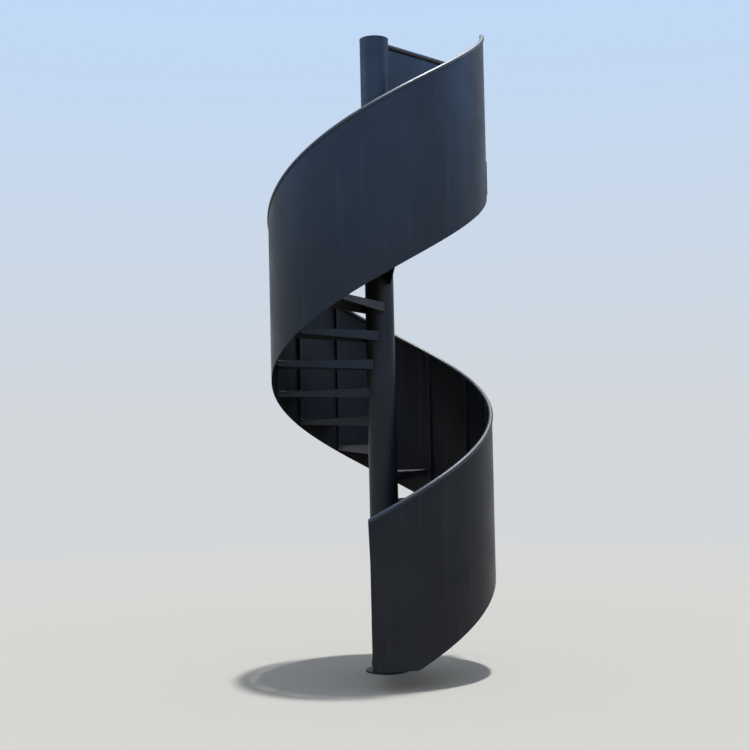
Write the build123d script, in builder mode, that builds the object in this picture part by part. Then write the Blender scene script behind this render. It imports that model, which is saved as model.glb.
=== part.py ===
"""Outdoor spiral staircase of painted steel, with a wrapped sheet guard.

A round column stands on a bolted base plate. Seventeen folded trays climb
counter-clockwise round it, seen from above, to a landing at roof level. One
continuous band of rolled sheet follows their outer ends as the guard, held by
square posts at the steps and topped by a round handrail.

Millimetres, +Z up. The origin is the centre of the base plate's underside, on
the ground. The stair is entered from the -Y side and left towards +X.
"""

from build123d import *
import math
import os

# Steps
tread_count = 17
first_rise = 206.0
step_rise = 198.6
step_turn = 26.86
first_nosing_angle = -97.8

# Column and its foot
column_diameter = 203.2
column_wall = 6.35
base_plate_diameter = 304.0
base_plate_thickness = 12.5
anchor_circle_diameter = 254.0
anchor_hole_diameter = 18.0
anchor_count = 4
anchor_start_angle = 45.0
cap_thickness = 5.0
cap_overhang = 1.5

# Folded trays, whose side edges pass beside the stair's axis and not through it.
# The wrap angle is how far round the column each side edge meets it
tray_plate = 4.75
tray_bend_radius = 7.0
tray_wrap_angle = 50.0
lip_depth_at_column = 67.0
lip_depth_at_guard = 40.0

# Guard sheet
guard_radius = 775.0
guard_sheet = 3.0
guard_drop = 243.0
guard_foot_height = 133.0
start_edge_lean = 34.0

# Posts inside the guard
post_size = 25.0
post_wall = 1.5
post_setback = 20.0
post_foot_rise = 12.0

# Handrail
rail_diameter = 31.75
rail_inset = 9.0
rail_height = 909.0
rail_lengths = 3
rail_bends = 16

# Landing
landing_end_angle = 405.2
landing_lip_depth = 67.0
landing_rib_thickness = 6.35
landing_rail_lowering = 22.0
landing_post_setback = 40.0
fascia_thickness = 6.35
fascia_depth = 234.0
fascia_hole_diameter = 14.0
fascia_hole_spacing = 560.0
fascia_hole_row_spacing = 110.0
fascia_hole_drop = 85.0

# Clearance left where a piece seats on a curved face
seat = 0.3

# Sizes that follow from the ones above
column_radius = column_diameter / 2
rail_radius = rail_diameter / 2
guard_inner_radius = guard_radius - guard_sheet
post_outer_distance = math.sqrt((guard_inner_radius - seat) ** 2 - (post_size / 2) ** 2)
tread_radius = post_outer_distance - post_size
tray_inner_radius = column_radius + seat
tray_side_offset = tray_inner_radius * math.sin(math.radians(tray_wrap_angle))
rail_center_radius = guard_radius - rail_inset
climb_per_radian = step_rise / math.radians(step_turn)
rail_slope = math.atan(climb_per_radian / rail_center_radius)
rail_half_height = rail_radius / math.cos(rail_slope)
rail_center_height = rail_height - rail_half_height


def rail_underside(offset):
    """Height of the tube's underside below its centre, beside its middle."""
    return math.sqrt(rail_radius**2 - offset**2) / math.cos(rail_slope)


sheet_nearest_offset = rail_inset - guard_sheet
sheet_top_height = rail_center_height - rail_underside(sheet_nearest_offset) - seat
landing_angle = first_nosing_angle + step_turn * tread_count
landing_height = first_rise + step_rise * tread_count
landing_reach = guard_radius / math.cos(math.radians(landing_end_angle))
landing_rail_top = landing_height + rail_height - landing_rail_lowering
landing_rail_center = landing_rail_top - rail_radius
landing_rail_offset = guard_sheet - rail_inset
landing_edge_place = Location((0, 0, 0), (0, 0, landing_end_angle))
column_top = landing_rail_top


def nosing_height(steps):
    """Height of the nosing line, that many steps above the first nosing."""
    return first_rise + step_rise * steps


def nosing_angle(steps):
    """Azimuth in degrees of the nosing line, that many steps past the first."""
    return first_nosing_angle + step_turn * steps


def step_place(steps):
    """Placement of a form made at azimuth 0 and height 0 on the nosing line."""
    return Location((0, 0, nosing_height(steps)), (0, 0, nosing_angle(steps)))


def side_direction(corner_distance, corner_angle, side):
    """Direction of a tray's side edge, from beside the axis to its outer corner."""
    lean = math.degrees(math.asin(tray_side_offset / corner_distance))
    return Vector(1, 0, 0).rotate(Axis.Z, corner_angle + side * lean)


def side_foot(corner_distance, corner_angle, side):
    """Point of a tray's side edge that is nearest to the axis."""
    direction = side_direction(corner_distance, corner_angle, side)
    return direction.rotate(Axis.Z, -90 * side) * tray_side_offset


def save(piece, name):
    """Label a finished piece and write it as its own file."""
    piece.label = name
    export_step(piece, f"parts/{name}.step")


os.makedirs("parts", exist_ok=True)

# Base plate: a round flange with its ring of anchor holes
with BuildPart() as base_plate:
    Cylinder(
        base_plate_diameter / 2,
        base_plate_thickness,
        align=(Align.CENTER, Align.CENTER, Align.MIN),
    )
    with PolarLocations(anchor_circle_diameter / 2, anchor_count, start_angle=anchor_start_angle):
        Hole(anchor_hole_diameter / 2)
save(base_plate.part, "base_plate")

# Column: one length of round tube
with BuildPart() as column:
    with BuildSketch(Plane.XY.offset(base_plate_thickness)):
        Circle(column_radius)
        Circle(column_radius - column_wall, mode=Mode.SUBTRACT)
    extrude(amount=column_top - base_plate_thickness)
save(column.part, "column")

# Column cap: a flat disc a little wider than the tube
with BuildPart() as column_cap:
    with BuildSketch(Plane.XY.offset(column_top)):
        Circle(column_radius + cap_overhang)
    extrude(amount=cap_thickness)
save(column_cap.part, "column_cap")

# One tray, with its front corner at azimuth 0 and its top at height 0: a blank
# is folded down along both sides and then trimmed round to the column and guard
side_length = math.sqrt(tread_radius**2 - tray_side_offset**2)
side_start = math.sqrt(tray_inner_radius**2 - tray_side_offset**2)
blank_length = guard_radius + column_radius
blank_sides = [
    (side_foot(tread_radius, corner_angle, side), side_direction(tread_radius, corner_angle, side), side)
    for corner_angle, side in ((0, 1), (step_turn, -1))
]
(front_foot, front_along, _), (rear_foot, rear_along, _) = blank_sides
blank_half_angle = front_along.get_angle(rear_along) / 2
blank_tip = Vector(blank_length / math.cos(math.radians(blank_half_angle)), 0)
with BuildPart() as tray_form:
    with BuildSketch(Plane.XY.offset(-tray_plate)):
        with BuildLine():
            Polyline(
                (0, 0),
                front_foot,
                front_foot + front_along * blank_length,
                blank_tip.rotate(Axis.Z, step_turn / 2),
                rear_foot + rear_along * blank_length,
                rear_foot,
                close=True,
            )
        make_face()
    extrude(amount=tray_plate)
    for foot, along, side in blank_sides:
        with BuildSketch(Plane(origin=foot, x_dir=along, z_dir=along.rotate(Axis.Z, -90))):
            with BuildLine():
                Polyline(
                    (0, 0),
                    (blank_length, 0),
                    (blank_length, -lip_depth_at_guard),
                    (side_length, -lip_depth_at_guard),
                    (side_start, -lip_depth_at_column),
                    (0, -lip_depth_at_column),
                    close=True,
                )
            make_face()
        extrude(amount=-side * tray_plate)
    top_lines = tray_form.edges().group_by(Axis.Z)[-1].filter_by(GeomType.LINE)
    fillet(top_lines.sort_by(SortBy.LENGTH)[-2:], tray_bend_radius)
    with BuildSketch(Plane.XY.offset(-lip_depth_at_column)):
        Circle(tread_radius)
        Circle(tray_inner_radius, mode=Mode.SUBTRACT)
    extrude(amount=lip_depth_at_column, mode=Mode.INTERSECT)

for steps in range(tread_count):
    with BuildPart() as tread:
        with Locations(step_place(steps)):
            add(tray_form.part)
    save(tread.part, f"tread_{steps + 1:02d}")

# One step's stretch of guard sheet, swept along the climb
with BuildPart() as panel_form:
    with BuildLine() as panel_path:
        Helix(
            pitch=climb_per_radian * 2 * math.pi,
            height=step_rise,
            radius=guard_radius - guard_sheet / 2,
        )
    with BuildSketch(Plane.XZ):
        with Locations((guard_radius - guard_sheet / 2, -guard_drop)):
            Rectangle(
                guard_sheet,
                guard_drop + sheet_top_height,
                align=(Align.CENTER, Align.MIN),
            )
    sweep(path=panel_path.line, is_frenet=True)

for steps in range(1, tread_count):
    with BuildPart() as guard_panel:
        with Locations(step_place(steps)):
            add(panel_form.part)
    save(guard_panel.part, f"guard_panel_{steps + 1:02d}")

# The first stretch is cut flat at its foot, and its free edge leans outwards
start_lean_angle = math.degrees(math.atan(start_edge_lean / (sheet_top_height + guard_drop)))
start_plane = Plane(
    origin=Vector(guard_radius, 0, first_rise + sheet_top_height).rotate(Axis.Z, nosing_angle(0)),
    x_dir=Vector(1, 0, 0).rotate(Axis.Z, nosing_angle(0)),
    z_dir=Vector(0, 1, 0).rotate(Axis.X, start_lean_angle).rotate(Axis.Z, nosing_angle(0)),
)
end_plane = Plane(
    origin=(0, 0, 0),
    x_dir=Vector(1, 0, 0).rotate(Axis.Z, nosing_angle(1)),
    z_dir=Vector(0, 1, 0).rotate(Axis.Z, nosing_angle(1)),
)
step_chord = 2 * guard_inner_radius * math.sin(math.radians(step_turn / 2))
step_slope_angle = math.degrees(math.atan(step_rise / step_chord))
edge_normal = Vector(0, 0, 1).rotate(Axis.X, step_slope_angle).rotate(Axis.Z, nosing_angle(0.5))
edge_direction = Vector(1, 0, 0).rotate(Axis.Z, nosing_angle(0.5))
top_edge_origin = (0, 0, nosing_height(0.5) + sheet_top_height)
top_edge_plane = Plane(origin=top_edge_origin, x_dir=edge_direction, z_dir=edge_normal)
lower_edge_origin = (0, 0, nosing_height(0.5) - guard_drop)
lower_edge_plane = Plane(origin=lower_edge_origin, x_dir=edge_direction, z_dir=edge_normal)
with BuildPart() as first_panel:
    with BuildSketch(Plane.XY.offset(guard_foot_height)):
        Circle(guard_radius)
        Circle(guard_inner_radius, mode=Mode.SUBTRACT)
    extrude(amount=nosing_height(1) + sheet_top_height - guard_foot_height)
    split(bisect_by=start_plane, keep=Keep.TOP)
    split(bisect_by=end_plane, keep=Keep.BOTTOM)
    split(bisect_by=top_edge_plane, keep=Keep.BOTTOM)
    split(bisect_by=lower_edge_plane, keep=Keep.TOP)
save(first_panel.part, "guard_panel_01")

# Posts: square tubes between the trays' corners and the sheet. One stands before
# each nosing line but the first, and the start post stands just past the first
post_angle = math.degrees(post_setback / guard_inner_radius)
post_climb = climb_per_radian * math.radians(post_angle)
post_foot = post_foot_rise - guard_drop
start_post_foot = guard_foot_height + post_foot_rise - first_rise
post_bore = post_size - 2 * post_wall
post_center_distance = post_outer_distance - post_size / 2
post_slant = post_size * math.tan(rail_slope) / 2
post_rail_seat = rail_center_height - rail_half_height - post_slant


def upright(angle, foot, top):
    """Square tube inside the sheet, at an azimuth from the nosing line."""
    bearing = Vector(post_center_distance, 0).rotate(Axis.Z, angle)
    with BuildPart() as form:
        with BuildSketch(Plane.XY.offset(foot)):
            with Locations(Location(bearing, (0, 0, angle))):
                Rectangle(post_size, post_size)
                Rectangle(post_bore, post_bore, mode=Mode.SUBTRACT)
        extrude(amount=top - foot)
    return form.part


post_form = upright(-post_angle, post_foot, post_rail_seat - post_climb)
start_post_form = upright(post_angle, start_post_foot, post_rail_seat + post_climb)
with BuildPart() as landing_post_form:
    with BuildSketch(Plane.XY.offset(landing_height)):
        with Locations((landing_reach - landing_post_setback, -post_size / 2)):
            Rectangle(post_size, post_size)
            Rectangle(post_bore, post_bore, mode=Mode.SUBTRACT)
    extrude(amount=landing_rail_center - rail_radius - seat - landing_height)
with BuildPart() as guard_posts:
    with Locations(step_place(0)):
        add(start_post_form)
    for steps in range(1, tread_count + 1):
        with Locations(step_place(steps)):
            add(post_form)
    with Locations(landing_edge_place):
        add(landing_post_form.part)
save(guard_posts.part, "guard_posts")

# Handrail: equal lengths of round tube on the top of the sheet, bent in small steps
rail_turn = step_turn * tread_count / rail_lengths
bend_turn = rail_turn / rail_bends
rail_direction = Vector(0, math.cos(rail_slope), math.sin(rail_slope))
with BuildPart() as rail_form:
    for bend in range(rail_bends + 1):
        turned = bend_turn * bend
        climbed = climb_per_radian * math.radians(turned)
        section_plane = Plane(
            origin=Vector(rail_center_radius, 0, climbed).rotate(Axis.Z, turned),
            x_dir=Vector(1, 0, 0).rotate(Axis.Z, turned),
            z_dir=rail_direction.rotate(Axis.Z, turned),
        )
        with BuildSketch(section_plane):
            Circle(rail_radius)
    loft(ruled=True)
for length in range(rail_lengths):
    length_steps = length * tread_count / rail_lengths
    with BuildPart() as handrail:
        with Locations((0, 0, rail_center_height)):
            with Locations(step_place(length_steps)):
                add(rail_form.part)
    save(handrail.part, f"handrail_{length + 1}")

# Landing: a larger tray, from the last riser to the straight edge of the roof
landing_foot = side_foot(guard_inner_radius, landing_angle, 1)
landing_front_along = side_direction(guard_inner_radius, landing_angle, 1)
landing_front_length = (guard_radius - landing_foot.X) / landing_front_along.X
landing_front_y = (landing_foot + landing_front_along * landing_front_length).Y
landing_rear_y = guard_radius * math.tan(math.radians(landing_end_angle))
landing_middle_angle = (landing_angle + landing_end_angle) / 2
landing_outline = (
    (0, 0),
    (landing_foot.X, landing_foot.Y),
    (guard_radius, landing_front_y),
    (guard_radius, landing_rear_y),
)
landing_middle_along = Vector(1, 0, 0).rotate(Axis.Z, landing_middle_angle)
landing_rear_along = Vector(1, 0, 0).rotate(Axis.Z, landing_end_angle)
landing_lips = (
    (landing_foot, landing_front_along, tray_plate),
    (Vector(0, 0, 0), landing_middle_along, landing_rib_thickness),
    (Vector(0, 0, 0), landing_rear_along, -tray_plate),
)
with BuildPart() as landing:
    with BuildSketch(Plane.XY.offset(landing_height - tray_plate)):
        with BuildLine():
            Polyline(*landing_outline, close=True)
        make_face()
    extrude(amount=tray_plate)
    for foot, along, thickness in landing_lips:
        lip_origin = foot + Vector(0, 0, landing_height)
        with BuildSketch(Plane(origin=lip_origin, x_dir=along, z_dir=along.rotate(Axis.Z, -90))):
            Rectangle(2 * guard_radius, landing_lip_depth, align=(Align.MIN, Align.MAX))
        extrude(amount=-thickness)
    with BuildSketch(Plane.XY.offset(landing_height - landing_lip_depth)):
        with BuildLine():
            Polyline(*landing_outline, close=True)
        make_face()
        Circle(tray_inner_radius, mode=Mode.SUBTRACT)
    extrude(amount=landing_lip_depth, mode=Mode.INTERSECT)
    bend_edges = landing.edges().group_by(Axis.Z)[-1].filter_by(GeomType.LINE)
    fillet(bend_edges - bend_edges.filter_by(Axis.Y), tray_bend_radius)
save(landing.part, "landing")

# Fascia: a flat plate along the landing's outer edge, bolted to the roof slab
fascia_middle_y = (landing_front_y + landing_rear_y) / 2
with BuildPart() as landing_fascia:
    with BuildSketch(Plane.YZ.offset(guard_radius)):
        with Locations((fascia_middle_y, landing_height)):
            Rectangle(
                landing_rear_y - landing_front_y,
                fascia_depth,
                align=(Align.CENTER, Align.MAX),
            )
    extrude(amount=fascia_thickness)
    fascia_hole_middle = landing_height - fascia_hole_drop - fascia_hole_row_spacing / 2
    with Locations(Plane.YZ.offset(guard_radius + fascia_thickness)):
        with Locations((fascia_middle_y, fascia_hole_middle)):
            with GridLocations(fascia_hole_spacing, fascia_hole_row_spacing, 2, 2):
                Hole(fascia_hole_diameter / 2)
save(landing_fascia.part, "landing_fascia")

# Landing guard: a flat sheet up the rear edge, from the column to the fascia
landing_sheet_foot = landing_height - landing_lip_depth
landing_sheet_clearance = math.sqrt(rail_radius**2 - sheet_nearest_offset**2) + seat
landing_sheet_top = landing_rail_center - landing_sheet_clearance
with BuildPart() as landing_guard_form:
    with BuildSketch(Plane.XZ.offset(-guard_sheet)):
        with Locations((column_radius, landing_sheet_foot)):
            Rectangle(
                landing_reach - column_radius,
                landing_sheet_top - landing_sheet_foot,
                align=(Align.MIN, Align.MIN),
            )
    extrude(amount=guard_sheet)
    with BuildSketch():
        Circle(tray_inner_radius)
    extrude(amount=landing_sheet_top, mode=Mode.SUBTRACT)
with BuildPart() as landing_guard:
    with Locations(landing_edge_place):
        add(landing_guard_form.part)
save(landing_guard.part, "landing_guard")

# Landing handrail: a straight tube on the flat sheet, coped to the column
with BuildPart() as landing_rail_form:
    with BuildSketch(Plane.YZ):
        with Locations((landing_rail_offset, landing_rail_center)):
            Circle(rail_radius)
    extrude(amount=landing_reach - rail_radius)
    with BuildSketch():
        Circle(tray_inner_radius)
    extrude(amount=landing_rail_top, mode=Mode.SUBTRACT)
with BuildPart() as landing_handrail:
    with Locations(landing_edge_place):
        add(landing_rail_form.part)
save(landing_handrail.part, "landing_handrail")
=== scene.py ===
# %% [markdown]
# # A spiral staircase in black painted steel
# The real stair stands out of doors and climbs one floor to its landing. Folded steel trays wind round a
# tube column, and one wide ribbon of rolled sheet wraps their outer ends as a solid guard, with a round rail
# on its top. The whole of it is sprayed in one satin charcoal black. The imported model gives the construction.
# Here its surfaces get their true curves, softened edges, welds, bolts and paint.

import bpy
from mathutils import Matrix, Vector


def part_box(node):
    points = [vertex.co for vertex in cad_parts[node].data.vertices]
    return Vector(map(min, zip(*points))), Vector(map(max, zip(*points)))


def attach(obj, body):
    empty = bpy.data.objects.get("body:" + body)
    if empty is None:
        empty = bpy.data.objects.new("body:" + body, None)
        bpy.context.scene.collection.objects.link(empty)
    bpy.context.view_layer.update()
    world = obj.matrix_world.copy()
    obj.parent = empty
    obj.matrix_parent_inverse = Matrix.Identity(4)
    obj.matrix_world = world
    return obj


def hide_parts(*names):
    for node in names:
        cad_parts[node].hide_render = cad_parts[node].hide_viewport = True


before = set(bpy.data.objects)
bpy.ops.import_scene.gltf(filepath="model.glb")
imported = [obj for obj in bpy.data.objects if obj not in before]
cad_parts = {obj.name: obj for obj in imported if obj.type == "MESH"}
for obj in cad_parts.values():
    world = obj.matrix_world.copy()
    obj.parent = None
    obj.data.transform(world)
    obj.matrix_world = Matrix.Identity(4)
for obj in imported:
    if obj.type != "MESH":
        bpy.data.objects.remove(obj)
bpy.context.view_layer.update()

# %% Tools of the lesson
import math

import bmesh
import bpy
from mathutils import Matrix, Vector

BODY = "root"
bpy.ops.object.select_all(action="DESELECT")
print("collections:", [collection.name for collection in bpy.data.collections])

# %% [markdown]
# ## Sizes
# The stair repeats one step: a rise and a turn. What repeats is modelled once, with its first corner straight
# out along X and its top at height zero, and is then turned and lifted to its own step. So a few sizes in
# metres are enough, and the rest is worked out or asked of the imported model.

# %% Driving sizes
step_count = 17
step_turn = math.radians(26.86)
first_angle = math.radians(-97.8)
first_rise = 0.206
step_rise = 0.1986
column_radius = 0.1016
guard_radius = 0.775
guard_sheet = 0.003
guard_drop = 0.243
guard_foot = 0.133
start_edge_lean = 0.034
rail_radius = 0.015875
rail_inset = 0.009
rail_height = 0.909
tray_plate = 0.00475
tray_bend_radius = 0.007
tray_wrap = math.radians(50)
lip_at_column = 0.067
lip_at_guard = 0.040
post_size = 0.025
post_wall = 0.0015
post_setback = 0.020
post_foot_rise = 0.012
landing_end = math.radians(405.2)
landing_rail_lowering = 0.022
landing_post_setback = 0.040
seat = 0.0003

# %% Sizes that follow
guard_inner = guard_radius - guard_sheet
post_outer = math.sqrt((guard_inner - seat) ** 2 - (post_size / 2) ** 2)
tread_radius = post_outer - post_size
tray_inner_radius = column_radius + seat
tray_side_offset = tray_inner_radius * math.sin(tray_wrap)
total_turn = step_turn * step_count
total_rise = step_rise * step_count
rail_line_radius = guard_radius - rail_inset
climb = step_rise / step_turn
rail_slope = math.atan(climb / rail_line_radius)
rail_half_height = rail_radius / math.cos(rail_slope)
rail_center_height = rail_height - rail_half_height
sheet_offset = rail_inset - guard_sheet
rail_clearance = math.sqrt(rail_radius**2 - sheet_offset**2) / math.cos(rail_slope) + seat
sheet_top = rail_center_height - rail_clearance
landing_height = first_rise + total_rise
print("rail slope in degrees:", round(math.degrees(rail_slope), 2), "sheet top:", round(sheet_top, 4))


def nosing_angle(steps):
    """Turn of the nosing line, that many steps past the first nosing."""
    return first_angle + step_turn * steps


def nosing_height(steps):
    """Height of the nosing line, that many steps above the first nosing."""
    return first_rise + step_rise * steps


# %% [markdown]
# ## Working by hand, in code
# An operator works on what is selected, as it does under the mouse. These helpers pick vertices, edges or
# faces by their place, cut with a plane, apply the finished modifiers and put a piece on its step. A finished
# piece keeps its origin at the world's centre, so its place is in its mesh.

# %% Selecting and cutting
def select_all():
    bpy.ops.mesh.select_all(action="SELECT")


def select_none():
    bpy.ops.mesh.select_all(action="DESELECT")


def edit_mesh(kind="VERT"):
    """Enter edit mode on the active object, with everything deselected."""
    bpy.ops.object.mode_set(mode="EDIT")
    bpy.ops.mesh.select_mode(type=kind)
    select_none()


def leave_edit():
    bpy.ops.object.mode_set(mode="OBJECT")


def select_where(test, kind="verts"):
    """Select the vertices, edges or faces that pass a test of their place."""
    mesh = bmesh.from_edit_mesh(bpy.context.object.data)
    chosen = [item for item in getattr(mesh, kind) if test(item)]
    for item in chosen:
        item.select_set(True)
    mesh.select_flush_mode()
    bmesh.update_edit_mesh(bpy.context.object.data)
    return len(chosen)


def middle(item):
    """Middle of an edge or a face."""
    return sum((vertex.co for vertex in item.verts), Vector()) / len(item.verts)


def cut(point, direction, behind=False, ahead=False, fill=False):
    """Cut the selected faces with a plane and clear what is behind or ahead of it."""
    bpy.ops.mesh.bisect(
        plane_co=point, plane_no=direction, clear_inner=behind, clear_outer=ahead, use_fill=fill
    )


def face_outwards():
    """Merge doubles, close what is open at the ends and turn all faces outwards."""
    edit_mesh("EDGE")
    select_all()
    bpy.ops.mesh.remove_doubles(threshold=0.000001)
    select_none()
    if select_where(lambda edge: edge.is_boundary, "edges"):
        bpy.ops.mesh.edge_face_add()
    select_all()
    bpy.ops.mesh.normals_make_consistent(inside=False)
    leave_edit()


# %% Finishing a piece
def add_modifier(kind, **settings):
    """Add a modifier to the active object and apply it."""
    modifier = bpy.context.object.modifiers.new(kind.title(), kind)
    for key, value in settings.items():
        setattr(modifier, key, value)
    bpy.ops.object.modifier_apply(modifier=modifier.name)


def soften(width, segments=2, angle=35):
    """Break the sharp edges as a file or a coat of paint does."""
    limit = math.radians(angle)
    add_modifier("BEVEL", width=width, segments=segments, limit_method="ANGLE", angle_limit=limit)


def fix_place():
    """Move the active object's place and turn into its mesh."""
    bpy.ops.object.transform_apply(location=True, rotation=True, scale=True)


def place(turn=0.0, lift=0.0):
    """Turn the active object about the stair's axis and lift it."""
    piece = bpy.context.object
    piece.matrix_world = Matrix.Translation((0, 0, lift)) @ Matrix.Rotation(turn, 4, "Z") @ piece.matrix_world
    fix_place()


def finish_piece(name, angle=30):
    """Name the active object and smooth its shading up to an angle."""
    piece = bpy.context.object
    piece.name = name
    piece.data.name = name
    bpy.ops.object.shade_smooth_by_angle(angle=math.radians(angle))
    piece.select_set(False)
    return piece


def keep_flat():
    """Let the active object's large faces stay flat in their shading beside their rounded edges."""
    add_modifier("WEIGHTED_NORMAL", keep_sharp=True)


def triangles(piece):
    """Number of triangles of a piece."""
    piece.data.calc_loop_triangles()
    return len(piece.data.loop_triangles)


def top_of(piece):
    """Height of a piece's highest point."""
    return max(vertex.co.z for vertex in piece.data.vertices)


def copy_piece(piece, name, matrix):
    """A copy with its own mesh, moved by a matrix."""
    twin = piece.copy()
    twin.data = piece.data.copy()
    twin.name = name
    twin.data.name = name
    twin.data.transform(matrix)
    bpy.context.scene.collection.objects.link(twin)
    return twin


def step_matrix(steps):
    """Moves a piece from azimuth 0 and height 0 to its place on the nosing line."""
    return Matrix.Translation((0, 0, nosing_height(steps))) @ Matrix.Rotation(nosing_angle(steps), 4, "Z")


def join_pieces(pieces, name, angle=60):
    """Join several objects into one mesh."""
    bpy.ops.object.select_all(action="DESELECT")
    for piece in pieces:
        piece.select_set(True)
    bpy.context.view_layer.objects.active = pieces[0]
    bpy.ops.object.join()
    joined = finish_piece(name, angle)
    print(name, "joined from", len(pieces), "pieces, triangles:", triangles(joined))
    return joined


# %% [markdown]
# ## Guard band
# The guard is one ribbon of 3 mm sheet, rolled to a cylinder and cut along the climb. It could be made as
# seventeen bent plates, but then each joint would show. Here one upright edge is wound up with a Screw
# modifier, as the real ribbon runs without a break. Its free end is cut flat at the foot and leans outwards,
# a slight waviness is pressed in, as hand-rolled sheet has, and Solidify gives the wall.

# %% Wind an upright line up the stair
def wind(turn, rounds):
    """Wind the active object's open line or ring round the axis and up the climb."""
    add_modifier(
        "SCREW",
        axis="Z",
        angle=turn,
        screw_offset=turn * climb,
        steps=rounds,
        render_steps=rounds,
        use_smooth_shade=True,
    )


band_height = sheet_top + guard_drop
band_rows = 20
band_rounds = 340
edge_place = (guard_radius + band_height / 2, 0, sheet_top - band_height / 2)
bpy.ops.mesh.primitive_plane_add(size=band_height, location=edge_place, rotation=(math.pi / 2, 0, 0))
fix_place()
edit_mesh()
select_where(lambda vertex: vertex.co.x > guard_radius + band_height / 2)
bpy.ops.mesh.delete(type="VERT")
select_all()
bpy.ops.mesh.subdivide(number_cuts=band_rows - 1)
leave_edit()
wind(total_turn, band_rounds)
band_top = top_of(bpy.context.object)
print("ribbon top above the first nosing:", round(band_top, 4), "wanted:", round(total_rise + sheet_top, 4))

# %% Cut the free end
lean = math.atan(start_edge_lean / band_height)
eighth_turn = math.radians(45)


def in_first_stretch(face):
    """True for the ribbon's faces near its free end."""
    centre = middle(face)
    return 0 <= math.atan2(centre.y, centre.x) < eighth_turn and centre.z < sheet_top + step_rise


edit_mesh("FACE")
for point, direction in (
    ((guard_radius, 0, sheet_top), (0, math.cos(lean), math.sin(lean))),
    ((0, 0, guard_foot - first_rise), (0, 0, 1)),
):
    select_none()
    select_where(in_first_stretch, "faces")
    cut(point, direction, behind=True)
select_none()
leave_edit()
print("ribbon faces after the cuts:", len(bpy.context.object.data.polygons))

# %% Press in the waviness and give the wall
wave_height = 0.0016
wave_length = 0.34
band_edge = 0.0006
wave = bpy.data.textures.new("rolled_sheet_waviness", "CLOUDS")
wave.noise_scale = wave_length
wave.noise_depth = 1
add_modifier("DISPLACE", texture=wave, strength=wave_height, mid_level=0.5, texture_coords="LOCAL")
edit_mesh("FACE")
select_all()
bpy.ops.mesh.normals_make_consistent(inside=False)
leave_edit()
add_modifier("SOLIDIFY", thickness=guard_sheet, offset=-1, use_even_offset=True)
soften(band_edge, segments=1)
place(nosing_angle(0), nosing_height(0))
guard_band = finish_piece("guard_band")
radii = [math.hypot(vertex.co.x, vertex.co.y) for vertex in guard_band.data.vertices]
print("guard radius from", round(min(radii), 4), "to", round(max(radii), 4))
print("guard triangles:", triangles(guard_band))

# %% [markdown]
# ## Handrail
# The rail is a round tube of 32 mm, bent to the same climb and welded along the sheet's top. A tube that
# climbs is round square to its own line, so its upright section is an ellipse, taller by one over the cosine
# of the slope. That ellipse is wound up in the same way as the ribbon, and both ends are capped and eased.

# %% Wind the tube
rail_sides = 32
rail_rounds = 380
rail_end_edge = 0.0015


def wound_round(name, radius, section_radius, height, turn, sides, ends):
    """A round bar along the climb, at a radius and a height above the nosing line."""
    bpy.ops.mesh.primitive_circle_add(
        vertices=sides, radius=section_radius, location=(radius, 0, height), rotation=(math.pi / 2, 0, 0)
    )
    bpy.context.object.scale.y = 1 / math.cos(rail_slope)
    fix_place()
    wind(turn, rail_rounds)
    face_outwards()
    soften(ends, segments=3, angle=60)
    left_over = (total_turn - turn) / 2
    place(nosing_angle(0) + left_over, nosing_height(0) + left_over * climb)
    return finish_piece(name, angle=40)


handrail = wound_round(
    "handrail", rail_line_radius, rail_radius, rail_center_height, total_turn, rail_sides, rail_end_edge
)
print("handrail triangles:", triangles(handrail), "top:", round(top_of(handrail), 4))

# %% [markdown]
# ## Weld along the rail
# Where the tube meets the sheet a painted weld fills the corner on both sides. It is a thin bead wound on the
# same climb, one on the inner side and one on the outer, and it stops just short of both ends.

# %% Wind the two beads
bead = 0.0022
bead_sides = 8
bead_end_edge = 0.0008
bead_shortening = math.radians(0.8)
bead_turn = total_turn - bead_shortening
inner_lift = bead * 0.4
outer_lift = bead * 1.6


def rail_bead(name, radius, lift):
    """A bead along the rail, a little above the sheet's top edge."""
    return wound_round(name, radius, bead, sheet_top + lift, bead_turn, bead_sides, bead_end_edge)


inner_bead = rail_bead("inner_bead", guard_inner - bead / 2, inner_lift)
outer_bead = rail_bead("outer_bead", guard_radius + bead / 2, outer_lift)
rail_weld = join_pieces([inner_bead, outer_bead], "rail_weld")

# %% [markdown]
# ## Trays
# Each step is one plate folded down along both sides, deeper at the column than at the guard, and coped round
# the tube. It is modelled as the folder makes it: a flat ring is cut by three planes to the blank, the side
# edges are extruded down as lips, the folds are bevelled to their bend, and Solidify gives the plate.

# %% Cut the blank
ring_sides = 360
side_lean = math.asin(tray_side_offset / tread_radius)
front_along = Vector((math.cos(side_lean), math.sin(side_lean), 0))
rear_along = Matrix.Rotation(step_turn - 2 * side_lean, 3, "Z") @ front_along
front_out = Vector((front_along.y, -front_along.x, 0))
rear_out = Vector((-rear_along.y, rear_along.x, 0))
front_foot = front_out * tray_side_offset
rear_foot = rear_out * tray_side_offset
middle_along = Vector((math.cos(step_turn / 2), math.sin(step_turn / 2), 0))

bpy.ops.mesh.primitive_circle_add(vertices=ring_sides, radius=tread_radius)
tray = bpy.context.object
edit_mesh("EDGE")
bpy.ops.mesh.primitive_circle_add(vertices=ring_sides, radius=tray_inner_radius)
select_all()
bpy.ops.mesh.bridge_edge_loops()
for point, direction in ((front_foot, front_out), (rear_foot, rear_out), (Vector(), -middle_along)):
    select_all()
    cut(point, direction, ahead=True)
select_all()
bpy.ops.mesh.dissolve_limited(angle_limit=math.radians(0.5))
leave_edit()
print("blank corners:", len(tray.data.vertices), "faces:", len(tray.data.polygons))

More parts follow.
